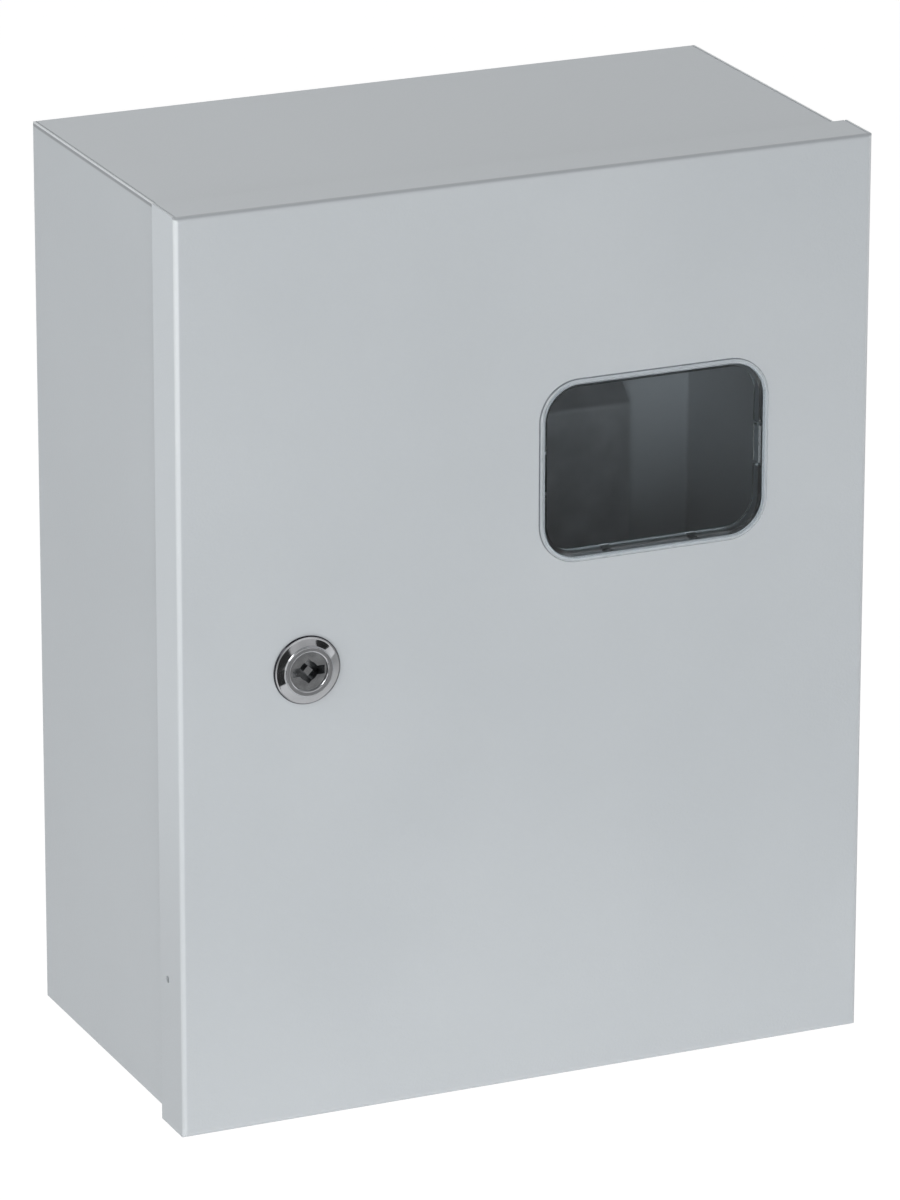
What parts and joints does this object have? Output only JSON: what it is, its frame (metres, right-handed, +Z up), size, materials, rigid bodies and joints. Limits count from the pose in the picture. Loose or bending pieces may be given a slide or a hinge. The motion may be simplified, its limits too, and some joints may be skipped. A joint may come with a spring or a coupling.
{
  "type": "steel wall enclosure",
  "caption": "Wall-mounted sheet-steel enclosure with a hinged overlapping door, an oblong clear window, a key lock and a mounting plate with rail and terminal bars inside.",
  "frame": {"origin": "centre of the four wall holes, on the back face", "axes": "+X right as one faces the door, +Y into the wall, +Z up; the door faces -Y"},
  "size_m": [0.31, 0.1681, 0.395],
  "materials": {
    "paint": "light grey powder coat with a fine texture",
    "zinc": "bright zinc plating",
    "brass": "drawn brass",
    "blue_plastic": "blue moulded plastic",
    "black_rubber": "black rubber",
    "seal_foam": "dark grey foamed seal",
    "clear_plastic": "clear moulded polycarbonate",
    "lock_chrome": "bright chrome plating on a casting",
    "lock_steel": "satin nickel plating",
    "pin_steel": "bright drawn steel"
  },
  "bodies": {
    "cabinet": {"body_shell": "paint", "front_gutter": "paint", "seal_wire_lug": "paint", "plate_studs": "zinc", "mounting_plate": "zinc", "plate_washers": "zinc", "plate_nuts": "zinc", "device_rail": "zinc", "rail_screws": "zinc", "rail_nuts": "zinc", "neutral_bar_screws": "zinc", "earth_bar_feet": "zinc", "earth_bar_screws": "zinc", "bar_fixing_screws": "zinc", "bar_fixing_nuts": "zinc", "body_earth_stud": "zinc", "body_earth_washer": "zinc", "body_earth_nut": "zinc", "upper_frame_hinge": "zinc", "lower_frame_hinge": "zinc", "hinge_screws": "zinc", "hinge_nuts": "zinc", "neutral_bar": "brass", "earth_bar": "brass", "neutral_bar_feet": "blue_plastic", "cable_grommets": "black_rubber", "upper_hinge_pin": "pin_steel", "lower_hinge_pin": "pin_steel"},
    "door": {"door_panel": "paint", "door_seal": "seal_foam", "window_moulding": "clear_plastic", "upper_door_hinge": "zinc", "lower_door_hinge": "zinc", "door_earth_stud": "zinc", "door_earth_washer": "zinc", "door_earth_nut": "zinc", "lock_housing": "lock_chrome", "lock_washer": "zinc", "lock_nut": "zinc"},
    "lock_core": {"lock_core": "lock_steel", "lock_cam": "zinc", "cam_washer": "zinc", "cam_screw": "zinc"}
  },
  "joints": [
    {"name": "door_swing", "type": "hinge", "parent": "cabinet", "child": "door", "pos_m": [0.15, -0.147, 0], "axis": [0, 0, 1], "range_deg": [0, 120]},
    {"name": "lock_turn", "type": "hinge", "parent": "door", "child": "lock_core", "pos_m": [-0.099, -0.15, -0.0005], "axis": [0, 1, 0], "range_deg": [0, 90]}
  ]
}
